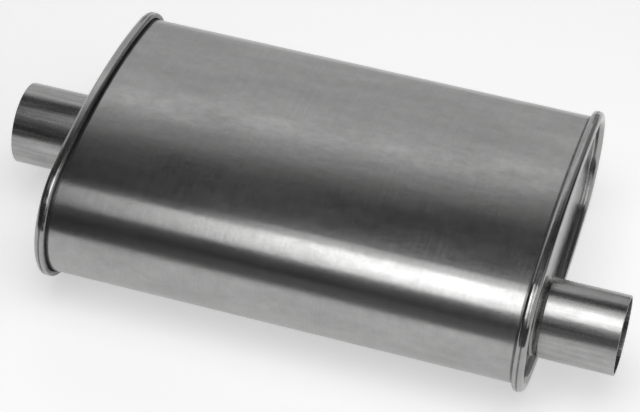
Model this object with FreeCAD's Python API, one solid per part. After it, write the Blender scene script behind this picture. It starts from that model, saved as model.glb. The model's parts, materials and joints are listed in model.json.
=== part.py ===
import FreeCAD, Part
import math
import os

# Oval three-pass exhaust muffler, millimetres.
# The origin is the middle of the body, X runs from the inlet end to the outlet end along the gas line,
# Y to the back and Z up. The body lies on its wide side.

# Body
body_length = 355.6        # over the two rolled rims, 14 inches
body_width = 247.65        # outer sheet, 9 3/4 inches
body_height = 107.95       # outer sheet, 4 1/4 inches
end_radius = 45.0          # the tight arcs of the oval at the front and back

# Sheets
wrap_gauge = 0.9           # both body sheets
head_gauge = 1.4           # end plates
plate_gauge = 1.0          # partitions
tube_gauge = 1.2           # inner tubes
sleeve_gauge = 0.8         # crimped sleeves
sheet_gap = 0.05           # clearance between sheets that are pressed or slid together

# Rolled rims
rim_width = 8.0            # along the body
rim_corner = 3.6           # outer radius of the rim's crest
hook_end_gap = 0.3         # play at the tips of the hooks
panel_depth = 6.5          # from the end of the rim down to the flat panel
panel_bend = 2.0           # bend at the foot of the rim's inner wall, on the sheet's middle line
panel_overlap = 12.0       # how far a ring profile reaches in over its flat panel

# Lap joint of the outer sheet
lap_width = 14.0
lap_end_gap = 0.4

# Necks
pipe_size = 57.15          # the 2 1/4 inch exhaust pipe that both ends take
slip_gap = 0.25            # on the diameter, for a pipe that slides
neck_gauge = 1.5
neck_reach = 57.2          # outside the rims
neck_inside = 32.0         # inside the panel
neck_edge = 0.4            # rounding of a neck's mouth
neck_slope = 5.0           # where a neck is drawn down to the waist that its collar and tube fit
neck_bend = 2.0            # on the sheet's middle line
waist_start = -0.5         # depth of the waist's outer end from the end of the rim
outlet_offset = 72.0       # the outlet neck lies this far to the front of the middle
collar_rise = 4.0          # how far an end plate's collar stands up from its panel
collar_bend = 1.7          # on the sheet's middle line
weld_leg = 1.9
weld_crown = 0.62          # how far a bead bulges, as a share of its leg both ways

# Gas path inside
gas_tube_size = 50.8       # outer diameter of the three gas tubes, 2 inches
tube_set_back = 2.0        # the gas tubes start this far inside the panels
throat_size = 34.0
throat_length = 46.0
first_x = -112.0
second_x = -28.0
third_x = 52.0
end_x = 112.0
tube_proud = 9.0           # how far an open tube end passes its last partition
flange_length = 12.0       # turned edge of a partition
hole_collar = 7.0          # turned collar round a partition's hole

# Slots and sleeves
slot_length = 12.0
slot_width = 3.5
slots_round = 8
slot_pitch = 17.0
sleeve_size = 64.0
sleeve_half = 34.0         # half of a sleeve's length
sleeve_grip = 7.0          # crimped length at each end of a sleeve
sleeve_slope = 9.0
sleeve_bend = 2.5

# Sizes that follow
half_length = body_length / 2
half_width = body_width / 2
half_height = body_height / 2
crown_radius = (
    ((half_width - end_radius) ** 2 + half_height ** 2 - end_radius ** 2)
    / (2 * (half_height - end_radius))
)
crown_angle = math.degrees(math.atan2(half_width - end_radius, crown_radius - half_height))

inlet_size = pipe_size + slip_gap + 2 * neck_gauge
outlet_size = pipe_size
waist_size = gas_tube_size + 2 * sheet_gap + 2 * neck_gauge

# Layers of a rim, as heights of each sheet's middle line above the outer sheet's face
cover_hook = sheet_gap + head_gauge / 2
outer_hook = cover_hook + head_gauge / 2 + sheet_gap + wrap_gauge / 2
inner_hook = outer_hook + wrap_gauge + sheet_gap
rim_wall = inner_hook + wrap_gauge / 2 + sheet_gap + head_gauge / 2
outer_wall = -wrap_gauge / 2
inner_wall = outer_wall - wrap_gauge - sheet_gap
chuck_wall = inner_wall - wrap_gauge / 2 - sheet_gap - head_gauge / 2
plate_seat = inner_wall - wrap_gauge / 2 - sheet_gap - plate_gauge / 2

# The same layers along the body, as depths from the end of the rim
head_fold = head_gauge / 2
inner_fold = head_gauge + sheet_gap + wrap_gauge / 2
outer_fold = inner_fold + wrap_gauge + sheet_gap
curl_radius = (rim_wall - cover_hook) / 2
curl_depth = rim_width - head_gauge / 2
hook_tip = curl_depth - curl_radius - sheet_gap
cover_tip = outer_fold + wrap_gauge / 2 + hook_end_gap
panel_mid = panel_depth + head_gauge / 2


def polar(radius, degrees):
    """Y and Z at this distance and angle, the angle counted from the back toward the top."""
    return radius * math.cos(math.radians(degrees)), radius * math.sin(math.radians(degrees))


def oval_arcs(grow):
    """The four tangent arcs of the oval: centre Y, centre Z, radius, first angle and sweep."""
    y = half_width - end_radius
    z = half_height - crown_radius
    side = 90 - crown_angle
    return [
        (y, 0.0, end_radius + grow, -side, 2 * side),
        (0.0, z, crown_radius + grow, side, 2 * crown_angle),
        (-y, 0.0, end_radius + grow, 180 - side, 2 * side),
        (0.0, -z, crown_radius + grow, 180 + side, 2 * crown_angle),
    ]


def oval_plate(x, grow, thick):
    """A flat oval sheet between x and x + thick, its edge this far outside the body's outline."""
    edges = []
    for y, z, radius, start, sweep in oval_arcs(grow):
        points = []
        for part in (0, 0.5, 1):
            dy, dz = polar(radius, start + part * sweep)
            points.append(FreeCAD.Vector(x, y + dy, z + dz))
        edges.append(Part.Arc(*points).toShape())
    return Part.Face(Part.Wire(edges)).extrude(FreeCAD.Vector(thick, 0, 0))


def sheet_side(path, shift):
    """Edges of one face of a bent sheet, shifted sideways from its middle line.

    The path is a list of x, height and bend radius, the radius on the middle line.
    """
    points = [FreeCAD.Vector(x, 0, h) for x, h, bend in path]
    ways = [(b - a).normalize() for a, b in zip(points, points[1:])]
    sides = [FreeCAD.Vector(-way.z, 0, way.x) for way in ways]
    edges = []
    last = points[0] + sides[0] * shift
    for i in range(1, len(points) - 1):
        turn = ways[i - 1].x * ways[i].z - ways[i - 1].z * ways[i].x
        angle = math.copysign(ways[i - 1].getAngle(ways[i]), turn)
        trim = path[i][2] * math.tan(abs(angle) / 2)
        enter = points[i] - ways[i - 1] * trim
        centre = enter + sides[i - 1] * math.copysign(path[i][2], angle)
        radius = path[i][2] - math.copysign(1, angle) * shift
        leave = points[i] + ways[i] * trim
        middle = centre + ((enter - centre) + (leave - centre)).normalize() * radius
        first = enter + sides[i - 1] * shift
        final = leave + sides[i] * shift
        if (first - last).Length > 0.001:
            edges.append(Part.makeLine(last, first))
        edges.append(Part.Arc(first, middle, final).toShape())
        last = final
    edges.append(Part.makeLine(last, points[-1] + sides[-1] * shift))
    return edges


def sheet_section(path, gauge):
    """The cut face of a bent sheet of even thickness that follows the path."""
    left = sheet_side(path, gauge / 2)
    right = sheet_side(path, -gauge / 2)
    start = Part.makeLine(right[0].Vertexes[0].Point, left[0].Vertexes[0].Point)
    end = Part.makeLine(left[-1].Vertexes[-1].Point, right[-1].Vertexes[-1].Point)
    return Part.Face(Part.Wire([start] + left + [end] + right[::-1]))


def round_section(section, y=0.0):
    """Turns a cut face, drawn as x and radius, once round the line at this y."""
    turned = section.revolve(FreeCAD.Vector(0, 0, 0), FreeCAD.Vector(1, 0, 0), 360)
    turned.translate(FreeCAD.Vector(0, y, 0))
    return turned


def oval_section(path, gauge):
    """Carries a bent sheet's cut face, drawn as x and height over the outline, round the oval."""
    pieces = []
    for y, z, radius, start, sweep in oval_arcs(0.0):
        section = sheet_section([(x, radius + h, bend) for x, h, bend in path], gauge)
        section.rotate(FreeCAD.Vector(0, 0, 0), FreeCAD.Vector(1, 0, 0), start - 90)
        piece = section.revolve(FreeCAD.Vector(0, 0, 0), FreeCAD.Vector(1, 0, 0), sweep)
        piece.translate(FreeCAD.Vector(0, y, z))
        pieces.append(piece)
    return pieces[0].fuse(pieces[1:]).removeSplitter()


def pipe(x_start, x_end, outer, gauge, y):
    """A straight round tube along X."""
    length = x_end - x_start
    start = FreeCAD.Vector(x_start, y, 0)
    way = FreeCAD.Vector(1, 0, 0)
    wall = Part.makeCylinder(outer / 2, length, start, way)
    return wall.cut(Part.makeCylinder(outer / 2 - gauge, length, start, way))


def collar(x_panel, gauge, outer, y, rise, bend, way):
    """The turned collar that a plate has round a tube, with a ring of the plate at its foot."""
    wall = outer / 2 + sheet_gap + gauge / 2
    path = [(x_panel + way * rise, wall, 0), (x_panel, wall, bend), (x_panel, wall + 2 * bend, 0)]
    return round_section(sheet_section(path, gauge), y)


def pressed_plate(x_panel, gauge, edge, holes, rise, bend, way):
    """A flat oval panel joined to its pressed edge, with a collared hole for each tube."""
    plate = oval_plate(x_panel - gauge / 2, -panel_overlap, gauge).fuse(edge)
    for outer, y in holes:
        wall = outer / 2 + sheet_gap + gauge / 2
        foot = FreeCAD.Vector(x_panel - gauge, y, 0)
        plate = plate.cut(Part.makeCylinder(wall + 2 * bend, 2 * gauge, foot, FreeCAD.Vector(1, 0, 0)))
    rings = [collar(x_panel, gauge, outer, y, rise, bend, way) for outer, y in holes]
    return plate.fuse(rings).removeSplitter()


# Outer sheet: its ends are folded back outward, and its edges meet in a lap along the underside.
def outer_wrap():
    fold = half_length - outer_fold
    tip = half_length - hook_tip
    bend = rim_corner - head_gauge - wrap_gauge * 1.5 - 2 * sheet_gap
    path = [
        (-tip, outer_hook, 0),
        (-fold, outer_hook, bend),
        (-fold, outer_wall, bend),
        (fold, outer_wall, bend),
        (fold, outer_hook, bend),
        (tip, outer_hook, 0),
    ]
    sheet = oval_section(path, wrap_gauge)
    reach = half_length - rim_width - lap_end_gap
    foot = crown_radius - wrap_gauge / 2
    top = crown_radius + wrap_gauge
    corners = [(-reach, foot), (reach, foot), (reach, top), (-reach, top)]
    points = [FreeCAD.Vector(x, 0, -r) for x, r in corners]
    lap = Part.Face(Part.makePolygon(points + points[:1]))
    sweep = math.degrees(lap_width / crown_radius)
    lap.rotate(FreeCAD.Vector(0, 0, 0), FreeCAD.Vector(1, 0, 0), -sweep / 2)
    lap = lap.revolve(FreeCAD.Vector(0, 0, 0), FreeCAD.Vector(1, 0, 0), sweep)
    lap.translate(FreeCAD.Vector(0, 0, crown_radius - half_height))
    return sheet.fuse(lap).removeSplitter()


# Inner sheet: it lines the outer one and its folded ends wrap over the outer sheet's hooks.
def inner_wrap():
    fold = half_length - inner_fold
    tip = half_length - hook_tip
    bend = rim_corner - head_gauge - wrap_gauge / 2 - sheet_gap
    path = [
        (-tip, inner_hook, 0),
        (-fold, inner_hook, bend),
        (-fold, inner_wall, bend),
        (fold, inner_wall, bend),
        (fold, inner_hook, bend),
        (tip, inner_hook, 0),
    ]
    return oval_section(path, wrap_gauge)


# End plate: the panel's edge runs out of the body, over the folded sheets and back under their hooks.
def end_plate(side, neck_y):
    bend = rim_corner - head_gauge / 2
    path = [
        (panel_mid, -panel_overlap, 0),
        (panel_mid, chuck_wall, panel_bend),
        (head_fold, chuck_wall, bend),
        (head_fold, rim_wall, bend),
        (curl_depth, rim_wall, curl_radius),
        (curl_depth, cover_hook, curl_radius),
        (cover_tip, cover_hook, 0),
    ]
    rim = oval_section([(side * (half_length - depth), h, r) for depth, h, r in path], head_gauge)
    x_panel = side * (half_length - panel_mid)
    holes = [(waist_size, neck_y)]
    return pressed_plate(x_panel, head_gauge, rim, holes, collar_rise + head_gauge / 2, collar_bend, side)


# Neck: a short tube, its mouth open for the exhaust pipe and its waist drawn down into the collar.
def neck(side, outer, y):
    wall = (outer - neck_gauge) / 2
    waist = (waist_size - neck_gauge) / 2
    path = [
        (-neck_reach, wall, 0),
        (waist_start - neck_slope, wall, neck_bend),
        (waist_start, waist, neck_bend),
        (panel_depth + neck_inside, waist, 0),
    ]
    section = sheet_section([(side * (half_length - depth), r, bend) for depth, r, bend in path], neck_gauge)
    tube = round_section(section, y)
    mouth = side * (half_length + neck_reach)
    circles = [edge for edge in tube.Edges if edge.BoundBox.XLength < 0.01]
    return tube.makeFillet(neck_edge, [edge for edge in circles if abs(edge.BoundBox.XMin - mouth) < 0.01])


# Weld bead: it closes the end of the collar to the neck all round.
def neck_weld(side, y):
    foot = half_length - panel_depth + collar_rise
    inner = waist_size / 2 + sheet_gap
    corner = FreeCAD.Vector(side * (foot + sheet_gap), 0, inner)
    along = corner + FreeCAD.Vector(side * weld_leg, 0, 0)
    out = corner + FreeCAD.Vector(0, 0, weld_leg)
    middle = corner + FreeCAD.Vector(side, 0, 1) * weld_leg * weld_crown
    edges = [
        Part.makeLine(corner, along),
        Part.Arc(along, middle, out).toShape(),
        Part.makeLine(out, corner),
    ]
    return round_section(Part.Face(Part.Wire(edges)), y)


# Inner tubes: each has two banks of slots, with as many rings of slots as the bank has room for.
def slotted_tube(x_start, x_end, y, bank_half):
    tube = pipe(x_start, x_end, gas_tube_size, tube_gauge, y)
    rows = int((2 * bank_half - slot_length) / slot_pitch) + 1
    cuts = []
    for middle in (front_bank, rear_bank):
        for row in range(rows):
            x = middle + (row - (rows - 1) / 2) * slot_pitch - slot_length / 2
            for step in range(slots_round):
                slot = Part.makeBox(slot_length, slot_width, 3 * tube_gauge)
                slot.translate(FreeCAD.Vector(x, -slot_width / 2, gas_tube_size / 2 - 2 * tube_gauge))
                turn = 360 * (step + 0.5 * (row % 2)) / slots_round
                slot.rotate(FreeCAD.Vector(0, 0, 0), FreeCAD.Vector(1, 0, 0), turn)
                slot.translate(FreeCAD.Vector(0, y, 0))
                cuts.append(slot)
    return tube.cut(cuts)


# Partition: a pressed plate whose turned edge sits in the inner sheet.
def partition(x, way, holes):
    path = [
        (x + way * flange_length, plate_seat, 0),
        (x, plate_seat, panel_bend),
        (x, -panel_overlap, 0),
    ]
    edge = oval_section(path, plate_gauge)
    return pressed_plate(x, plate_gauge, edge, holes, hole_collar, collar_bend, way)


# Sleeve: a wider tube over a slotted length, its ends crimped down onto the tube.
def sleeve(middle, y):
    x_start = middle - sleeve_half
    x_end = middle + sleeve_half
    grip = gas_tube_size / 2 + sheet_gap + sleeve_gauge / 2
    wall = sleeve_size / 2 - sleeve_gauge / 2
    path = [
        (x_start, grip, 0),
        (x_start + sleeve_grip, grip, sleeve_bend),
        (x_start + sleeve_grip + sleeve_slope, wall, sleeve_bend),
        (x_end - sleeve_grip - sleeve_slope, wall, sleeve_bend),
        (x_end - sleeve_grip, grip, sleeve_bend),
        (x_end, grip, 0),
    ]
    return round_section(sheet_section(path, sleeve_gauge), y)


# Fibre roll: it fills the room between a slotted tube and its sleeve.
def packing(middle, y):
    outer = sleeve_size - 2 * sleeve_gauge - 2 * sheet_gap
    roll = (outer - gas_tube_size) / 2 - sheet_gap
    return pipe(middle - roll_half, middle + roll_half, outer, roll, y)


# The three gas tubes and where they stop
inlet_y = 0.0
outlet_y = -outlet_offset
return_y = outlet_offset
inlet_start = -half_length + panel_depth + tube_set_back
outlet_stop = half_length - panel_depth - tube_set_back
past_third = third_x + hole_collar + tube_proud
before_first = first_x - hole_collar - tube_proud
throat_start = end_x - tube_proud

# The middles of the two slotted lengths, each midway between its partitions
front_bank = (first_x + second_x) / 2
rear_bank = (second_x + hole_collar + third_x) / 2
roll_half = sleeve_half - sleeve_grip - sleeve_slope - sleeve_bend

inlet_hole = (gas_tube_size, inlet_y)
return_hole = (gas_tube_size, return_y)
outlet_hole = (gas_tube_size, outlet_y)
throat_hole = (throat_size, return_y)
three_holes = [inlet_hole, return_hole, outlet_hole]

nodes = {
    "outer_wrap": outer_wrap(),
    "inner_wrap": inner_wrap(),
    "inlet_head": end_plate(-1, inlet_y),
    "outlet_head": end_plate(1, outlet_y),
    "inlet_neck": neck(-1, inlet_size, inlet_y),
    "outlet_neck": neck(1, outlet_size, outlet_y),
    "inlet_weld": neck_weld(-1, inlet_y),
    "outlet_weld": neck_weld(1, outlet_y),
    "inlet_tube": slotted_tube(inlet_start, past_third, inlet_y, roll_half),
    "return_tube": slotted_tube(before_first, past_third, return_y, sleeve_half),
    "outlet_tube": slotted_tube(before_first, outlet_stop, outlet_y, roll_half),
    "first_partition": partition(first_x, -1, three_holes),
    "second_partition": partition(second_x, 1, three_holes),
    "third_partition": partition(third_x, 1, three_holes),
    "end_partition": partition(end_x, 1, [throat_hole, outlet_hole]),
    "throat_tube": pipe(throat_start, throat_start + throat_length, throat_size, tube_gauge, return_y),
    "inlet_sleeve": sleeve(front_bank, inlet_y),
    "outlet_sleeve": sleeve(rear_bank, outlet_y),
    "inlet_packing": packing(front_bank, inlet_y),
    "outlet_packing": packing(rear_bank, outlet_y),
}

os.makedirs("parts", exist_ok=True)
for name, shape in nodes.items():
    shape.exportStep("parts/" + name + ".step")
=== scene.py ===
import json
import math
from collections import Counter

import bpy
from mathutils import Matrix, Vector

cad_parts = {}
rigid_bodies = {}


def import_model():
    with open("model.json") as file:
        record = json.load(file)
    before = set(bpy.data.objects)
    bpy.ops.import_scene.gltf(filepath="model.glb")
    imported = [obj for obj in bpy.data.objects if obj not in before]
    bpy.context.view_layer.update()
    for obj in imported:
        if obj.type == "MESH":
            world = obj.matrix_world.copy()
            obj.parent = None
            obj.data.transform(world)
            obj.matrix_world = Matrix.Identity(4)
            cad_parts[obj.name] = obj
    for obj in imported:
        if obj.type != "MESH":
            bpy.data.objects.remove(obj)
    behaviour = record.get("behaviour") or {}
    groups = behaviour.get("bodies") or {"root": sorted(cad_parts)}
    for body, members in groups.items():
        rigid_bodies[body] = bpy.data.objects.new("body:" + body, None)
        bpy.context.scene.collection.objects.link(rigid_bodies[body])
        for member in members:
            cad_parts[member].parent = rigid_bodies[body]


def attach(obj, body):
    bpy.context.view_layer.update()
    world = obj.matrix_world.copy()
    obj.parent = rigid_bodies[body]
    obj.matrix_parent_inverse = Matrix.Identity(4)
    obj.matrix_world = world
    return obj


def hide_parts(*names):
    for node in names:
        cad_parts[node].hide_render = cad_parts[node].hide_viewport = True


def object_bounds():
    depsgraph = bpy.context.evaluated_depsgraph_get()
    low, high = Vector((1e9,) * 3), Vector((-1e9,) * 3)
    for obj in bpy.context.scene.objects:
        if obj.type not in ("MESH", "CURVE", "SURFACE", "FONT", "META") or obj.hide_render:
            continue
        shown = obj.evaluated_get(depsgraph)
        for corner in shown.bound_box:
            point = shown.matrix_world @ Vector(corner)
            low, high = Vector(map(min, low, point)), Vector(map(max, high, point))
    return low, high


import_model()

cad_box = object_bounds()

# Outer sheet of the body: aluminised steel rolled to an oval. Its edges meet in a lap along the underside,
# where the welding wheels leave a shallow track. Its two ends are folded back outward for the rolled rims
# to grip.
BODY_LENGTH = 0.3556
BODY_WIDTH = 0.24765
BODY_HEIGHT = 0.10795
END_RADIUS = 0.045
SHEET_GAUGE = 0.0009
SHEET_FOLD = 0.00285             # depth of the folded end behind the end of the rim
SHEET_HOOK = 0.00195             # height of the folded-back hook over the sheet's face
SHEET_BEND = 0.00075
HOOK_TIP = 0.005575              # depth of the hook's edge behind the end of the rim
LAP_HALF = 0.007                 # half the width of the lap
LAP_END = 0.1694                 # from the body's middle to the end of the lap
LAP_TRACK_EDGE = 0.0045          # from the lap's edge to the track of the welding wheels
LAP_TRACK_DEPTH = 0.00015
HALF_ROWS = 24                   # rows of faces from the body's middle to the end of the lap
END_STEPS = 56                   # faces round one tight end of the oval
CROWN_STEPS = 48                 # faces across the crowned top, and across the underside
LAP_STEPS = 2                    # faces across the lap, out of those of the underside
MERGE = 2e-5                     # points closer together than this become one

half_length = BODY_LENGTH / 2
half_height = BODY_HEIGHT / 2
end_centre = BODY_WIDTH / 2 - END_RADIUS
crown_radius = (end_centre ** 2 + half_height ** 2 - END_RADIUS ** 2) / (2 * (half_height - END_RADIUS))
crown_drop = crown_radius - half_height
crown_angle = math.atan2(end_centre, crown_drop)
end_angle = math.pi / 2 - crown_angle
lap_angle = LAP_HALF / crown_radius


def clamp(value):
    """The value, kept between 0 and 1."""
    return max(0.0, min(1.0, value))


def draw_line(name, points):
    """A piece that is only a line through the points, drawn out of a single vertex."""
    bpy.ops.object.select_all(action="DESELECT")
    bpy.ops.mesh.primitive_plane_add(size=0.001, location=points[0])
    line = bpy.context.object
    line.name = name
    bpy.ops.object.transform_apply(location=True, rotation=True, scale=True)
    bpy.ops.object.mode_set(mode="EDIT")
    bpy.ops.mesh.select_mode(type="VERT")
    bpy.ops.mesh.select_all(action="SELECT")
    bpy.ops.mesh.merge(type="CENTER")
    for start, end in zip(points, points[1:]):
        step = Vector(end) - Vector(start)
        bpy.ops.mesh.extrude_region_move(TRANSFORM_OT_translate={"value": step})
    bpy.ops.object.mode_set(mode="OBJECT")
    return line


def choose(piece, kind, test):
    """Selects the vertices, edges or faces that pass the test and no others, and stays in edit mode."""
    bpy.ops.object.mode_set(mode="EDIT")
    bpy.ops.mesh.select_mode(type=kind)
    bpy.ops.mesh.select_all(action="DESELECT")
    bpy.ops.object.mode_set(mode="OBJECT")
    mesh = piece.data
    for item in {"VERT": mesh.vertices, "EDGE": mesh.edges, "FACE": mesh.polygons}[kind]:
        item.select = test(item)
    bpy.ops.object.mode_set(mode="EDIT")


def bend_line(line, point, radius, turn=math.pi / 2, segments=6):
    """Rounds the line's corner at this point."""
    place = Vector(point)
    choose(line, "VERT", lambda vertex: (vertex.co - place).length < 1e-6)
    bpy.ops.mesh.bevel(
        offset=radius * math.tan(turn / 2), segments=segments, affect="VERTICES", clamp_overlap=False
    )
    bpy.ops.object.mode_set(mode="OBJECT")


def over_outline(x, height):
    """The point at this height over the body's outline where the turn round the oval starts."""
    radius = END_RADIUS + height
    return x, end_centre + radius * math.cos(end_angle), -radius * math.sin(end_angle)


def spin_line(arcs):
    """Carries the line round one arc after another, up to its start, and closes the seam."""
    bpy.ops.object.mode_set(mode="EDIT")
    bpy.ops.mesh.select_all(action="SELECT")
    for y, z, angle, steps in arcs:
        bpy.ops.mesh.spin(steps=steps, angle=angle, center=(0, y, z), axis=(-1, 0, 0))
    bpy.ops.mesh.select_all(action="SELECT")
    bpy.ops.mesh.remove_doubles(threshold=MERGE)
    bpy.ops.mesh.normals_make_consistent(inside=False)
    bpy.ops.object.mode_set(mode="OBJECT")


def spin_oval(end_steps):
    """Carries the line once round the oval: the two tight ends, the crown, and the underside with its lap."""
    side = crown_angle - lap_angle
    side_steps = (CROWN_STEPS - LAP_STEPS) // 2
    spin_line([
        (end_centre, 0, 2 * end_angle, end_steps),
        (0, -crown_drop, 2 * crown_angle, CROWN_STEPS),
        (-end_centre, 0, 2 * end_angle, end_steps),
        (0, crown_drop, side, side_steps),
        (0, crown_drop, 2 * lap_angle, LAP_STEPS),
        (0, crown_drop, side, side_steps),
    ])


def give_gauge(piece, gauge):
    """Gives a surface drawn on a sheet's middle its thickness, half to each side."""
    bpy.ops.object.modifier_add(type="SOLIDIFY")
    wall = piece.modifiers[-1]
    wall.thickness = gauge
    wall.offset = 0
    wall.use_even_offset = True
    bpy.ops.object.modifier_apply(modifier=wall.name)


def shade(piece, degrees=35):
    """Smooth shading that keeps the flats flat and the cut edges sharp."""
    bpy.ops.object.shade_smooth_by_angle(angle=math.radians(degrees))
    bpy.ops.object.modifier_add(type="WEIGHTED_NORMAL")
    piece.modifiers[-1].keep_sharp = True
    bpy.ops.object.modifier_apply(modifier=piece.modifiers[-1].name)


def noise(tree, scale, detail, rough=0.6):
    """A noise pattern on the piece, with this many waves to the metre along each axis."""
    place = tree.nodes.new("ShaderNodeTexCoord")
    stretch = tree.nodes.new("ShaderNodeMapping")
    stretch.inputs["Scale"].default_value = scale
    tree.links.new(place.outputs["Object"], stretch.inputs["Vector"])
    pattern = tree.nodes.new("ShaderNodeTexNoise")
    pattern.inputs["Scale"].default_value = 1
    pattern.inputs["Detail"].default_value = detail
    pattern.inputs["Roughness"].default_value = rough
    tree.links.new(stretch.outputs["Vector"], pattern.inputs["Vector"])
    return pattern.outputs["Fac"]


def reach(tree, direction, centre=(0, 0, 0)):
    """How far each point of the piece lies from the centre along this direction, in metres."""
    place = tree.nodes.new("ShaderNodeTexCoord")
    from_centre = tree.nodes.new("ShaderNodeVectorMath")
    from_centre.operation = "SUBTRACT"
    from_centre.inputs[1].default_value = centre
    tree.links.new(place.outputs["Object"], from_centre.inputs[0])
    along = tree.nodes.new("ShaderNodeVectorMath")
    along.operation = "DOT_PRODUCT"
    along.inputs[1].default_value = direction
    tree.links.new(from_centre.outputs["Vector"], along.inputs[0])
    return along.outputs["Value"]


def distance(tree, direction, centre=(0, 0, 0)):
    """The same, but counted alike on both sides of the centre."""
    size = tree.nodes.new("ShaderNodeMath")
    size.operation = "ABSOLUTE"
    tree.links.new(reach(tree, direction, centre), size.inputs[0])
    return size.outputs["Value"]


def spread(tree, value, low, high, start=0.3, end=0.7):
    """Runs from low to high while the value runs from start to end, and goes no further."""
    fit = tree.nodes.new("ShaderNodeMapRange")
    fit.inputs["From Min"].default_value = start
    fit.inputs["From Max"].default_value = end
    fit.inputs["To Min"].default_value = low
    fit.inputs["To Max"].default_value = high
    tree.links.new(value, fit.inputs["Value"])
    return fit.outputs["Result"]


def combine(tree, kind, *values):
    """The values added, multiplied or compared one after another."""
    total = values[0]
    for value in values[1:]:
        both = tree.nodes.new("ShaderNodeMath")
        both.operation = kind
        tree.links.new(total, both.inputs[0])
        tree.links.new(value, both.inputs[1])
        total = both.outputs["Value"]
    return total


BRIGHT_STEEL = (0.352, 0.354, 0.35)
ROUND_THE_BODY = (700, 16, 16)   # mill streaks, many to the metre along X and few across it
BROAD_CLOUDS = (14, 40, 40)
MOTTLE = (110, 130, 130)
GRIT = (520, 520, 520)
SHADE_AND_MARK_TONE = 0.3                  # what a mark of full strength, painted shade included, leaves of the steel's brightness
MARK_ROUGHNESS = 0.12
MARK_HEIGHT = -0.03              # in millimetres, as the bump's other heights


def steel(name, colour, roughness, grain, clouds=BROAD_CLOUDS, streaks=1.0, uneven=1.0, shade_and_marks=None):
    """Aluminised steel with mill streaks along the grain, clouds, mottling, fine grit, and its own marks and
    painted shade.
    """
    finish = bpy.data.materials.new(name)
    finish.use_nodes = True
    tree = finish.node_tree
    shader = tree.nodes["Principled BSDF"]
    shader.inputs["Metallic"].default_value = 1
    # Each layer: its pattern, and how far it changes the tone, the roughness and the height in millimetres.
    layers = [
        (noise(tree, grain, 3), 0.07 * streaks, 0.02 * streaks, 0.0018 * streaks),
        (noise(tree, clouds, 4), 0.08, -0.03, 0.03 * uneven),
        (noise(tree, MOTTLE, 2), 0.04, -0.015, 0.012 * uneven),
        (noise(tree, GRIT, 1), 0.03, 0.01, 0.002),
    ]
    share = roughness / len(layers)
    tones, glosses, heights = [], [], []
    for pattern, tone, gloss, height in layers:
        tones.append(spread(tree, pattern, 1 - tone, 1 + tone))
        glosses.append(spread(tree, pattern, share - gloss, share + gloss))
        heights.append(spread(tree, pattern, 0, height))
    # The marks darken the tone: weld seams, heat tint and soot are the steel's own; the darkening in corners
    # and recesses is painted shade.
    if shade_and_marks:
        shadow = shade_and_marks(tree)
        tones.append(spread(tree, shadow, 1, SHADE_AND_MARK_TONE, 0, 1))
        glosses.append(spread(tree, shadow, 0, MARK_ROUGHNESS, 0, 1))
        heights.append(spread(tree, shadow, 0, MARK_HEIGHT, 0, 1))
    tint = tree.nodes.new("ShaderNodeVectorMath")
    tint.operation = "SCALE"
    tint.inputs[0].default_value = colour
    tree.links.new(combine(tree, "MULTIPLY", *tones), tint.inputs["Scale"])
    tree.links.new(tint.outputs["Vector"], shader.inputs["Base Color"])
    tree.links.new(combine(tree, "ADD", *glosses), shader.inputs["Roughness"])
    relief = tree.nodes.new("ShaderNodeBump")
    relief.inputs["Strength"].default_value = 1
    relief.inputs["Distance"].default_value = 0.001
    tree.links.new(combine(tree, "ADD", *heights), relief.inputs["Height"])
    tree.links.new(relief.outputs["Normal"], shader.inputs["Normal"])
    return finish


sheet_tip = half_length - HOOK_TIP
sheet_fold = half_length - SHEET_FOLD
sheet_middle = -SHEET_GAUGE / 2
inlet_corners = [over_outline(-sheet_fold, SHEET_HOOK), over_outline(-sheet_fold, sheet_middle)]
outlet_corners = [over_outline(sheet_fold, sheet_middle), over_outline(sheet_fold, SHEET_HOOK)]
rows = [
    over_outline(-LAP_END + i * LAP_END / HALF_ROWS, sheet_middle) for i in range(2 * HALF_ROWS + 1)
]
sheet = draw_line(
    "body_sheet",
    [over_outline(-sheet_tip, SHEET_HOOK)] + inlet_corners + rows
    + outlet_corners + [over_outline(sheet_tip, SHEET_HOOK)],
)
for corner in inlet_corners + outlet_corners:
    bend_line(sheet, corner, SHEET_BEND, segments=4)
spin_oval(END_STEPS)

WAVE_HEIGHT = 0.00006
WAVE_LENGTH = 0.045
WAVE_END = 0.012                 # no waves closer than this to the end of the rim
WAVE_FADE = 0.03
UNDERSIDE = 0.002                # all that is no higher than this over the lowest line is the underside

rolling = bpy.data.textures.new("rolling_waves", "CLOUDS")
rolling.noise_scale = WAVE_LENGTH
rolling.noise_depth = 1
free = sheet.vertex_groups.new(name="free_sheet")
for vertex in sheet.data.vertices:
    clear = (half_length - WAVE_END - abs(vertex.co.x)) / WAVE_FADE
    if vertex.co.z < -half_height + UNDERSIDE:
        clear = min(clear, (abs(vertex.co.y) - 2 * LAP_HALF) / WAVE_FADE)
    free.add([vertex.index], clamp(clear), "REPLACE")
bpy.ops.object.modifier_add(type="DISPLACE")
waves = sheet.modifiers[-1]
waves.texture = rolling
waves.texture_coords = "LOCAL"
waves.vertex_group = free.name
waves.mid_level = 0.5
waves.strength = WAVE_HEIGHT
bpy.ops.object.modifier_apply(modifier=waves.name)
sheet.vertex_groups.clear()
give_gauge(sheet, SHEET_GAUGE)


def on_lap(face):
    """Whether a face of the sheet's outer side belongs to the lap."""
    place = face.center
    outer_side = face.normal.z < 0 and place.z < -half_height + SHEET_GAUGE / 2
    return outer_side and abs(place.y) < LAP_HALF and abs(place.x) < LAP_END


choose(sheet, "FACE", on_lap)
bpy.ops.mesh.extrude_region_shrink_fatten(TRANSFORM_OT_shrink_fatten={"value": SHEET_GAUGE})
bpy.ops.mesh.inset(thickness=LAP_TRACK_EDGE)
bpy.ops.mesh.inset(thickness=LAP_TRACK_DEPTH, depth=-LAP_TRACK_DEPTH)
bpy.ops.object.mode_set(mode="OBJECT")
shade(sheet)

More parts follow.
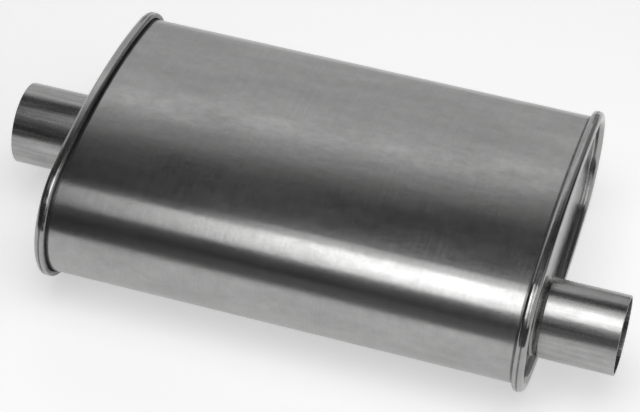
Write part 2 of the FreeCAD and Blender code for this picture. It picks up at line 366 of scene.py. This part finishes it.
RIM_WIDTH = 0.008
GROOVE_SHADE_WIDTH = 0.0022             # of the painted shade on the sheet beside a rim
GROOVE_SHADE_CORE = 0.00132             # of its darkest part
SHADE_PATCHES = (60, 120, 120)
HEAT_PATCHES = (420, 60, 60)

rim_edge = half_length - RIM_WIDTH


def groove_shade_and_heat(tree):
    """Painted shade in the corners beside the rolled rims, and the welding wheels' heat along the lap."""
    # Painted shade: the sheet is darkened in the corner beside each rim, where the rim's shade falls.
    corner = spread(tree, distance(tree, (1, 0, 0)), 0, 1, rim_edge - GROOVE_SHADE_WIDTH, rim_edge - GROOVE_SHADE_CORE)
    groove_shade = combine(tree, "MULTIPLY", corner, spread(tree, noise(tree, SHADE_PATCHES, 3), 0.7, 1))
    track = spread(tree, distance(tree, (0, 1, 0)), 1, 0, LAP_HALF - LAP_TRACK_EDGE, LAP_HALF)
    under = spread(tree, reach(tree, (0, 0, 1)), 1, 0, -half_height, -half_height + UNDERSIDE)
    patches = spread(tree, noise(tree, HEAT_PATCHES, 2), 0.15, 0.75)
    return combine(tree, "MAXIMUM", groove_shade, combine(tree, "MULTIPLY", track, under, patches))


sheet.data.materials.append(steel(
    "rolled_sheet", BRIGHT_STEEL, roughness=0.225, grain=ROUND_THE_BODY, streaks=0.5, shade_and_marks=groove_shade_and_heat
))
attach(sheet, "root")
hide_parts("outer_wrap")

# End plates: pressed from heavier sheet, each with a flat panel set back inside the body. The edge runs out,
# over the folded ends of both body sheets and back under their hooks, rolled tight all round the oval, and a
# collar is turned out of the panel where the neck passes through.
HEAD_GAUGE = 0.0014
PANEL_MIDDLE = 0.0072            # depth of the panel's middle behind the end of the rim
PANEL_LAND = 0.0008              # flat ring of the panel that is drawn with each bend
PANEL_RINGS = 5                  # rings of edges that divide the rest of the panel
RIM_WALL = 0.0041                # height of the rim's outer wall over the body's face, at mid gauge
INNER_WALL = -0.0026             # the same for the wall that runs down to the panel
COVER_HOOK = 0.00075             # the same for the edge that is rolled back under
CREST_BEND = 0.0029
FOOT_BEND = 0.002
CURL_BEND = 0.001665             # a little under half the way from the outer wall to the hooked edge
CURL_DEPTH = 0.0073
COVER_TIP = 0.0036               # depth of the hooked edge behind the end of the rim
COLLAR_RADIUS = 0.0277
COLLAR_TOP = 0.0025              # depth of the collar's edge behind the end of the rim
COLLAR_BEND = 0.0017
OUTLET_Y = -0.072                # the outlet neck stands to the front of the middle
PLATE_END_STEPS = 84             # faces round one tight end of the rim
RING_STEPS = 208                 # faces round the collar
PUCKER_HEIGHT = 0.0004
PUCKER_LENGTH = 0.0045
PUCKER_START = 0.0022            # height over the body's outline where the puckers start
PUCKER_RISE = 0.0012             # height over which they grow to the full
PUCKER_LEAD = 0.01               # how far before the tight end they start to grow
PUCKER_FADE = 0.03
CROWN_PUCKERS = 0.25             # what is left of them on the crowned sides
OUTER_WALL = 0.002               # all that is higher than this over the outline is the rim's outer wall
CURL_SHADE = 0.0011              # width of the painted shade on the curl
RIM_TRACK = 0.0041               # depth of the seaming roller's track behind the end of the rim
RIM_TRACK_HALF = 0.0009          # half the track's width
RIM_TRACK_CORE = 0.00036         # and half that of its darkest part
ROUND_THE_RIM = (400, 60, 60)
RIM_CLOUDS = (60, 30, 30)


def spin_round(y, steps):
    """Turns the line once round the neck's axis."""
    spin_line([(y, 0, 2 * math.pi, steps)])


def rim_point(way, depth, height):
    """The point this deep behind the end of the rim, at this height over the body's outline."""
    return over_outline(way * (half_length - depth), height)


def height_over_outline(place):
    """How far a point of a rim stands over the body's outline, outward across the oval."""
    if abs(place.y) > end_centre:
        centre = Vector((math.copysign(end_centre, place.y), 0))
        radius = END_RADIUS
    else:
        centre = Vector((0, math.copysign(-crown_drop, place.z)))
        radius = crown_radius
    return (Vector((place.y, place.z)) - centre).length - radius


def pucker(place):
    """How much the seaming roller puckers the rim here: its outer wall only, and most in the tight ends."""
    wall = clamp((height_over_outline(place) - PUCKER_START) / PUCKER_RISE)
    tight = clamp((abs(place.y) - end_centre + PUCKER_LEAD) / PUCKER_FADE)
    return wall * (CROWN_PUCKERS + (1 - CROWN_PUCKERS) * tight)


def open_at(plate, x):
    """A test for the edges at this place along X that have a face on one side only."""
    faces_at = Counter(key for face in plate.data.polygons for key in face.edge_keys)

    def test(edge):
        at_place = all(abs(plate.data.vertices[i].co.x - x) < 1e-6 for i in edge.vertices)
        return at_place and faces_at[edge.key] == 1
    return test


def painted_rim_shade(tree):
    """Painted shade on the edge that curls in toward the body, and in the roller's track on the outer wall.
    """
    off_middle = distance(tree, (1, 0, 0))
    # Painted shade: the curl beside the body and the roller's track on the outer wall are darkened.
    curl = spread(tree, off_middle, 1, 0, rim_edge, rim_edge + CURL_SHADE)
    outside = tree.nodes.new("ShaderNodeAttribute")
    outside.attribute_name = "outer_wall"
    middle = half_length - RIM_TRACK
    track = combine(
        tree, "MULTIPLY", outside.outputs["Fac"],
        spread(tree, off_middle, 0, 1, middle - RIM_TRACK_HALF, middle - RIM_TRACK_CORE),
        spread(tree, off_middle, 1, 0, middle + RIM_TRACK_CORE, middle + RIM_TRACK_HALF),
    )
    patches = spread(tree, noise(tree, SHADE_PATCHES, 3), 0.6, 1)
    return combine(tree, "MULTIPLY", combine(tree, "MAXIMUM", curl, track), patches)


pucker_pattern = bpy.data.textures.new("puckers", "CLOUDS")
pucker_pattern.noise_scale = PUCKER_LENGTH
pucker_pattern.noise_depth = 0
head_steel = steel(
    "end_plate_steel", BRIGHT_STEEL, roughness=0.2, grain=ROUND_THE_RIM, clouds=RIM_CLOUDS,
    shade_and_marks=painted_rim_shade,
)
for name, node, way, neck_y in (
    ("inlet_end_plate", "inlet_head", -1, 0.0), ("outlet_end_plate", "outlet_head", 1, OUTLET_Y)
):
    bends = [
        (rim_point(way, PANEL_MIDDLE, INNER_WALL), FOOT_BEND),
        (rim_point(way, HEAD_GAUGE / 2, INNER_WALL), CREST_BEND),
        (rim_point(way, HEAD_GAUGE / 2, RIM_WALL), CREST_BEND),
        (rim_point(way, CURL_DEPTH, RIM_WALL), CURL_BEND),
        (rim_point(way, CURL_DEPTH, COVER_HOOK), CURL_BEND),
    ]
    foot = rim_point(way, PANEL_MIDDLE, INNER_WALL - FOOT_BEND - PANEL_LAND)
    tip = rim_point(way, COVER_TIP, COVER_HOOK)
    plate = draw_line(name, [foot] + [corner for corner, bend in bends] + [tip])
    for corner, bend in bends:
        bend_line(plate, corner, bend)
    spin_oval(PLATE_END_STEPS)

    panel_x = way * (half_length - PANEL_MIDDLE)
    collar_foot = (panel_x, neck_y + COLLAR_RADIUS, 0)
    collar = draw_line("collar", [
        (way * (half_length - COLLAR_TOP), neck_y + COLLAR_RADIUS, 0),
        collar_foot,
        (panel_x, neck_y + COLLAR_RADIUS + COLLAR_BEND + PANEL_LAND, 0),
    ])
    bend_line(collar, collar_foot, COLLAR_BEND)
    spin_round(neck_y, RING_STEPS)
    plate.select_set(True)
    bpy.context.view_layer.objects.active = plate
    bpy.ops.object.join()
    choose(plate, "EDGE", open_at(plate, panel_x))
    bpy.ops.mesh.bridge_edge_loops(number_cuts=PANEL_RINGS, interpolation="LINEAR")
    bpy.ops.mesh.select_all(action="SELECT")
    bpy.ops.mesh.normals_make_consistent(inside=False)
    bpy.ops.object.mode_set(mode="OBJECT")

    rolled = plate.vertex_groups.new(name="rolled_wall")
    for vertex in plate.data.vertices:
        rolled.add([vertex.index], pucker(vertex.co), "REPLACE")
    outside = [float(height_over_outline(vertex.co) > OUTER_WALL) for vertex in plate.data.vertices]
    plate.data.attributes.new("outer_wall", "FLOAT", "POINT").data.foreach_set("value", outside)
    bpy.ops.object.modifier_add(type="DISPLACE")
    dents = plate.modifiers[-1]
    dents.texture = pucker_pattern
    dents.texture_coords = "LOCAL"
    dents.vertex_group = rolled.name
    dents.strength = PUCKER_HEIGHT
    bpy.ops.object.modifier_apply(modifier=dents.name)
    plate.vertex_groups.clear()
    give_gauge(plate, HEAD_GAUGE)
    shade(plate)
    plate.data.materials.append(head_steel)
    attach(plate, "root")
    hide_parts(node)

# Necks: short lengths of steel tube. Each is drawn down to a waist that passes through the end plate's collar
# into the body, and keeps its full size outside, where the exhaust pipe slips in or over.
NECK_GAUGE = 0.0015
INLET_RADIUS = 0.02945           # at mid gauge, as are the next two
OUTLET_RADIUS = 0.027825
WAIST_RADIUS = 0.0262
NECK_REACH = 0.0572              # how far the mouth stands out past the end of the rim
WAIST_REACH = 0.0002             # the same for the start of the waist
NECK_INSIDE = 0.0385             # depth of the inner end behind the end of the rim
NECK_SLOPE = 0.0028
NECK_BEND = 0.0012
NECK_EDGE = 0.0004
NECK_STEPS = 144
ALONG_THE_TUBE = (16, 420, 420)
TUBE_CLOUDS = (30, 90, 90)
SEAM_HALF = 0.0009               # half the width of the tube's own weld seam
SEAM_CORE = 0.0002               # and half that of its darkest part
SEAM_SIDE = 0.01                 # the seam fades in over this much of its own side of the tube
SOOT_SHADE_INSIDE = 0.001              # the soot and painted shade are darkest up to here, behind the end of the rim
SOOT_SHADE_REACH = 0.0025              # and ends here, past the end of the rim
SOOT_SHADE_DARKEST = 0.4
SOOT_SHADE_PATCHES = (60, 160, 160)
SEAM_GAPS = (90, 300, 300)
INLET_SEAM = math.radians(65)    # how far the seam is turned up from the front
OUTLET_SEAM = math.radians(35)
NECK_STEEL = (0.345, 0.347, 0.343)


def seam_soot_and_shade(neck_y, seam_turn):
    """The tube's own weld seam as a thin broken line at this turn above the front, and soot from the weld
    with painted shade inside the end plate's recess.
    """
    def shade_and_marks(tree):
        across = distance(tree, (0, math.sin(seam_turn), math.cos(seam_turn)), (0, neck_y, 0))
        line = spread(tree, across, 1, 0, SEAM_CORE, SEAM_HALF)
        out = reach(tree, (0, -math.cos(seam_turn), math.sin(seam_turn)), (0, neck_y, 0))
        side = spread(tree, out, 0, 1, 0, SEAM_SIDE)
        broken = spread(tree, noise(tree, SEAM_GAPS, 2), 0.2, 0.8)
        seam = combine(tree, "MULTIPLY", line, side, broken)
        # Soot from the weld, and painted shade: the neck is darkened where it goes into the end plate's
        # recess.
        near = spread(
            tree, distance(tree, (1, 0, 0)), SOOT_SHADE_DARKEST, 0,
            half_length - SOOT_SHADE_INSIDE, half_length + SOOT_SHADE_REACH,
        )
        soot_and_shade = combine(tree, "MULTIPLY", near, spread(tree, noise(tree, SOOT_SHADE_PATCHES, 3), 0.3, 1))
        return combine(tree, "MAXIMUM", seam, soot_and_shade)
    return shade_and_marks


for name, node, way, neck_y, radius, seam_turn in (
    ("inlet_neck_tube", "inlet_neck", -1, 0.0, INLET_RADIUS, INLET_SEAM),
    ("outlet_neck_tube", "outlet_neck", 1, OUTLET_Y, OUTLET_RADIUS, OUTLET_SEAM),
):
    mouth, slope_top, slope_foot, inner_end = [
        (way * (half_length + out), neck_y + middle, 0) for out, middle in (
            (NECK_REACH, radius), (WAIST_REACH + NECK_SLOPE, radius),
            (WAIST_REACH, WAIST_RADIUS), (-NECK_INSIDE, WAIST_RADIUS),
        )
    ]
    tube = draw_line(name, [mouth, slope_top, slope_foot, inner_end])
    turn = math.atan2(radius - WAIST_RADIUS, NECK_SLOPE)
    for corner in (slope_top, slope_foot):
        bend_line(tube, corner, NECK_BEND, turn, segments=4)
    spin_round(neck_y, NECK_STEPS)
    give_gauge(tube, NECK_GAUGE)
    bpy.ops.object.modifier_add(type="BEVEL")
    edge = tube.modifiers[-1]
    edge.width = NECK_EDGE
    edge.segments = 3
    edge.limit_method = "ANGLE"
    edge.angle_limit = math.radians(60)
    bpy.ops.object.modifier_apply(modifier=edge.name)
    shade(tube)
    tube.data.materials.append(steel(
        name + "_steel", NECK_STEEL, roughness=0.25, grain=ALONG_THE_TUBE, clouds=TUBE_CLOUDS, streaks=2.0,
        shade_and_marks=seam_soot_and_shade(neck_y, seam_turn),
    ))
    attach(tube, "root")
    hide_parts(node)

# Weld beads: one run of weld metal round each neck, laid in the corner between the neck and the end of the
# collar. Its low ripples are left by the torch's steps.
WELD_LEG = 0.0019                # how far the bead reaches along the neck, and along the collar's edge
WELD_CREST = 0.62 * WELD_LEG     # how far its middle stands out, along both
SHOULDER_FAR = 1.56 * WELD_CREST
SHOULDER_NEAR = 0.2 * WELD_LEG
WELD_CORNER = 0.027              # radius of the corner
WELD_DEPTH = 0.00245             # depth of the corner behind the end of the rim
WELD_FOOT = 0.0002               # the ripples leave this much at each foot of the bead alone
RIPPLES = 96
RIPPLE_HEIGHTS = (0.00012, 0.00004, -0.00008, -0.00002)
WELD_METAL = (0.27, 0.265, 0.26)
FINE_GRAIN = (300, 300, 300)
FINE_CLOUDS = (200, 200, 200)

ripple_steps = RIPPLES * len(RIPPLE_HEIGHTS)


def on_ripple(phase, corner_x, neck_y):
    """A test for the vertices at this phase of every ripple, away from the feet of the bead."""
    def test(vertex):
        turn = math.atan2(vertex.co.z, vertex.co.y - neck_y) / (2 * math.pi)
        radius = math.hypot(vertex.co.y - neck_y, vertex.co.z)
        clear = abs(vertex.co.x - corner_x) > WELD_FOOT and radius > WELD_CORNER + WELD_FOOT
        return clear and round(turn * ripple_steps) % len(RIPPLE_HEIGHTS) == phase
    return test


bead_steel = steel("weld_metal", WELD_METAL, roughness=0.3, grain=FINE_GRAIN, clouds=FINE_CLOUDS, streaks=1.5)
for name, node, way, neck_y in (
    ("inlet_weld_bead", "inlet_weld", -1, 0.0), ("outlet_weld_bead", "outlet_weld", 1, OUTLET_Y)
):
    corner_x = way * (half_length - WELD_DEPTH)
    section = [
        (0, 0), (WELD_LEG, 0), (SHOULDER_FAR, SHOULDER_NEAR), (WELD_CREST, WELD_CREST),
        (SHOULDER_NEAR, SHOULDER_FAR), (0, WELD_LEG), (0, 0),
    ]
    bead = draw_line(name, [
        (corner_x + way * along, neck_y + WELD_CORNER + out, 0) for along, out in section
    ])
    spin_round(neck_y, ripple_steps)
    for phase, height in enumerate(RIPPLE_HEIGHTS):
        choose(bead, "VERT", on_ripple(phase, corner_x, neck_y))
        bpy.ops.transform.shrink_fatten(value=height)
        bpy.ops.object.mode_set(mode="OBJECT")
    shade(bead, degrees=60)
    bead.data.materials.append(bead_steel)
    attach(bead, "root")
    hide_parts(node)

# Inner sheet and baffles: a second wrap lies against the outer one and is caught in the same rims. Pressed
# partitions, flanged to spring against it and spot welded, part the body into chambers and carry the tubes.
DULL_STEEL = (0.35, 0.352, 0.348)
PRESSED_STEEL = (0.34, 0.342, 0.338)
ROUND_THE_FLANGE = (500, 20, 20)
FLANGE_CLOUDS = (40, 40, 40)


def finish_copy(node, name, material):
    """A joined and smoothly shaded copy of the solid with this piece's own finish, in the solid's place."""
    bpy.ops.object.select_all(action="DESELECT")
    solid = bpy.data.objects[node]
    solid.select_set(True)
    bpy.context.view_layer.objects.active = solid
    bpy.ops.object.duplicate()
    piece = bpy.context.object
    piece.name = name
    bpy.ops.object.parent_clear(type="CLEAR_KEEP_TRANSFORM")
    bpy.ops.object.mode_set(mode="EDIT")
    bpy.ops.mesh.select_mode(type="VERT")
    bpy.ops.mesh.select_all(action="SELECT")
    bpy.ops.mesh.remove_doubles(threshold=1e-6)
    bpy.ops.mesh.tris_convert_to_quads()
    bpy.ops.object.mode_set(mode="OBJECT")
    shade(piece, degrees=30)
    piece.data.materials.clear()
    piece.data.materials.append(material)
    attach(piece, "root")
    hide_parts(node)


wrap_steel = steel("inner_wrap_steel", DULL_STEEL, roughness=0.26, grain=ROUND_THE_BODY)
finish_copy("inner_wrap", "inner_body_sheet", wrap_steel)
pressed_steel = steel(
    "pressed_steel", PRESSED_STEEL, roughness=0.27, grain=ROUND_THE_FLANGE, clouds=FLANGE_CLOUDS, streaks=0.8
)
for node, name in (
    ("first_partition", "first_baffle"), ("second_partition", "second_baffle"),
    ("third_partition", "third_baffle"), ("end_partition", "end_baffle"),
):
    finish_copy(node, name, pressed_steel)

# Gas tubes: three straight tubes of seamed steel through the baffles, and a short tuning throat. Louvred
# sleeves are swaged down onto two of them, over rows of slots and holes cut through the tube's wall.
tube_steel = steel(
    "gas_tube_steel", DULL_STEEL, roughness=0.24, grain=ALONG_THE_TUBE, clouds=TUBE_CLOUDS, streaks=2.0
)
for node, name in (
    ("inlet_tube", "inlet_gas_tube"), ("return_tube", "return_gas_tube"),
    ("outlet_tube", "outlet_gas_tube"), ("throat_tube", "tuning_throat"),
    ("inlet_sleeve", "inlet_louvred_sleeve"), ("outlet_sleeve", "outlet_louvred_sleeve"),
):
    finish_copy(node, name, tube_steel)

# Fibre rolls: mats of glass fibre wound round the slotted lengths, filling the room inside each sleeve to
# damp the sound that comes through the slots. The strands run round the tube, and the surface is uneven
# and soft.
ROLL_INNER = 0.02545
ROLL_OUTER = 0.03115
ROLL_HALF = 0.0155               # half the roll's length
INLET_ROLL = -0.070              # place of the roll's middle along X
OUTLET_ROLL = 0.0155
ROLL_EDGE = 0.0012
ROLL_ROWS = 12
ROLL_STEPS = 144
TUFT_DEPTH = 0.0007
TUFT_LENGTH = 0.004
STRANDS_ROUND = (1400, 70, 70)
STRAND_TUFTS = (160, 220, 220)
SHADED_FIBRE = (0.42, 0.37, 0.24, 1)
LIT_FIBRE = (0.80, 0.75, 0.60, 1)

fibre = bpy.data.materials.new("glass_fibre_mat")
fibre.use_nodes = True
strands = fibre.node_tree
mat_shader = strands.nodes["Principled BSDF"]
mat_shader.inputs["Roughness"].default_value = 0.85
mat_shader.inputs["Sheen Weight"].default_value = 0.25
blend = combine(
    strands, "ADD", noise(strands, STRANDS_ROUND, 3, 0.5), noise(strands, STRAND_TUFTS, 3, 0.5)
)
ramp = strands.nodes.new("ShaderNodeValToRGB")
ramp.color_ramp.elements[0].position = 0.35
ramp.color_ramp.elements[0].color = SHADED_FIBRE
ramp.color_ramp.elements[1].position = 0.62
ramp.color_ramp.elements[1].color = LIT_FIBRE
strands.links.new(spread(strands, blend, 0, 1, 0, 2), ramp.inputs["Fac"])
strands.links.new(ramp.outputs["Color"], mat_shader.inputs["Base Color"])
tufts = strands.nodes.new("ShaderNodeBump")
tufts.inputs["Distance"].default_value = 0.0004
strands.links.new(blend, tufts.inputs["Height"])
strands.links.new(tufts.outputs["Normal"], mat_shader.inputs["Normal"])

tuft_pattern = bpy.data.textures.new("fibre_tufts", "CLOUDS")
tuft_pattern.noise_scale = TUFT_LENGTH
for name, node, middle, roll_y in (
    ("inlet_fibre_roll", "inlet_packing", INLET_ROLL, 0.0),
    ("outlet_fibre_roll", "outlet_packing", OUTLET_ROLL, OUTLET_Y),
):
    low, high = middle - ROLL_HALF, middle + ROLL_HALF
    places = [
        low + ROLL_EDGE + (high - low - 2 * ROLL_EDGE) * i / ROLL_ROWS for i in range(ROLL_ROWS + 1)
    ]
    section = [(x, ROLL_OUTER) for x in places]
    section += [(high, ROLL_OUTER - ROLL_EDGE), (high, ROLL_INNER + ROLL_EDGE)]
    section += [(x, ROLL_INNER) for x in reversed(places)]
    section += [(low, ROLL_INNER + ROLL_EDGE), (low, ROLL_OUTER - ROLL_EDGE), (places[0], ROLL_OUTER)]
    roll = draw_line(name, [(x, roll_y + radius, 0) for x, radius in section])
    spin_round(roll_y, ROLL_STEPS)
    bpy.ops.object.modifier_add(type="DISPLACE")
    tuft = roll.modifiers[-1]
    tuft.texture = tuft_pattern
    tuft.texture_coords = "LOCAL"
    tuft.mid_level = 0
    tuft.strength = -TUFT_DEPTH
    bpy.ops.object.modifier_apply(modifier=tuft.name)
    shade(roll, degrees=80)
    roll.data.materials.append(fibre)
    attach(roll, "root")
    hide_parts(node)

# Floor: a pale, matt table right under the rolled rims. It glows a little, as if lit from below for a
# catalogue picture.
FLOOR_SIZE = 8
FLOOR_GLOW = 0.46
floor_z = cad_box[0][2]
bpy.ops.object.select_all(action="DESELECT")
bpy.ops.mesh.primitive_plane_add(size=FLOOR_SIZE, location=(0, 0, floor_z))
floor = bpy.context.object
floor.name = "floor"
bpy.ops.object.transform_apply(location=True, rotation=True, scale=True)
pale = bpy.data.materials.new("pale_floor")
pale.use_nodes = True
surface = pale.node_tree.nodes["Principled BSDF"]
surface.inputs["Base Color"].default_value = (0.82, 0.82, 0.82, 1)
surface.inputs["Roughness"].default_value = 0.9
surface.inputs["Emission Color"].default_value = (1, 1, 1, 1)
surface.inputs["Emission Strength"].default_value = FLOOR_GLOW
floor.data.materials.append(pale)

# Studio lights: soft boxes hung flat over the body, and cards stood round it that face its middle. A card's
# azimuth is counted from the back toward the outlet end. The brightness is that of the light's face.
ROOM_GLOW = 0.04
BOX_HEIGHT = 1.3
CARD_DISTANCE = 2.5
world = bpy.data.worlds.new("studio")
bpy.context.scene.world = world
world.use_nodes = True
world.node_tree.nodes["Background"].inputs["Color"].default_value = (1, 1, 1, 1)
world.node_tree.nodes["Background"].inputs["Strength"].default_value = ROOM_GLOW


def soft_light(name, width, depth, brightness, place, aim):
    """A rectangular soft light of this brightness per area, facing along aim."""
    data = bpy.data.lights.new(name, "AREA")
    data.shape = "RECTANGLE"
    data.size = width
    data.size_y = depth
    data.energy = brightness * math.pi * width * depth
    lamp = bpy.data.objects.new(name, data)
    bpy.context.scene.collection.objects.link(lamp)
    lamp.location = place
    lamp.rotation_euler = Vector(aim).to_track_quat("-Z", "Y").to_euler()
    lamp.visible_camera = False


for name, x, y, width, depth, brightness in (
    ("box_left", -0.45, -0.6, 0.3, 1.0, 0.9),
    ("box_front", 0.0, -0.9, 0.6, 0.4, 2.7),
    ("box_middle", 0.0, -0.4, 0.6, 0.6, 3.25),
    ("box_back", 0.0, 0.1, 0.6, 0.4, 1.24),
    ("box_right", 0.6, -0.2, 0.6, 1.0, 1.3),
    ("box_far_right", 1.3, -0.3, 0.7, 0.9, 0.2),
):
    soft_light(name, width, depth, brightness, (x, y, BOX_HEIGHT), (0, 0, -1))

for name, azimuth, elevation, width, height, brightness in (
    ("card_back_left", -50, 19, 0.88, 1.72, 0.66),
    ("card_back", -20, 19, 1.82, 1.72, 0.68),
    ("card_back_top", -20, 42, 1.35, 0.35, 1.05),
    ("card_back_over", -20, 50, 1.17, 0.35, 0.43),
    ("card_back_right", 17.5, 23, 1.58, 2.12, 0.26),
    ("card_left", -90, 23, 2.5, 2.1, 0.02),
    ("card_right", 90, 23, 2.5, 2.1, 0.7),
    ("card_front_left", -150, 42, 2.0, 1.06, 0.04),
    ("card_front_right", 150, 42, 2.0, 1.06, 0.68),
    ("card_front", -177, 10.5, 1.2, 0.9, 0.12),
):
    east, up = math.radians(azimuth), math.radians(elevation)
    way = Vector((math.sin(east) * math.cos(up), math.cos(east) * math.cos(up), math.sin(up)))
    soft_light(name, width, height, brightness, way * CARD_DISTANCE, -way)

# Camera: a long lens, high in front of the body and a little toward its outlet end. It is held slightly
# turned, and its aim passes a little beside the body's middle.
CAMERA_AZIMUTH = math.radians(15.4063)
CAMERA_ELEVATION = math.radians(42.6583)
CAMERA_ROLL = math.radians(2.6944)
CAMERA_DISTANCE = 1.7785
CAMERA_SHIFT = (-0.0055874, -0.0097181)
CAMERA_LENS = 137.57
CAMERA_SENSOR = 36
turn = Matrix.Rotation(CAMERA_AZIMUTH, 4, "Z") @ Matrix.Rotation(math.pi / 2 - CAMERA_ELEVATION, 4, "X")
turn = turn @ Matrix.Rotation(CAMERA_ROLL, 4, "Z")
camera_data = bpy.data.cameras.new("camera")
camera_data.lens = CAMERA_LENS
camera_data.sensor_width = CAMERA_SENSOR
camera_data.clip_start = 0.05
camera = bpy.data.objects.new("camera", camera_data)
bpy.context.scene.collection.objects.link(camera)
place = turn.to_3x3() @ Vector((*CAMERA_SHIFT, CAMERA_DISTANCE))
camera.matrix_world = Matrix.Translation(place) @ turn
bpy.context.scene.camera = camera
bpy.context.scene.view_settings.view_transform = "Standard"
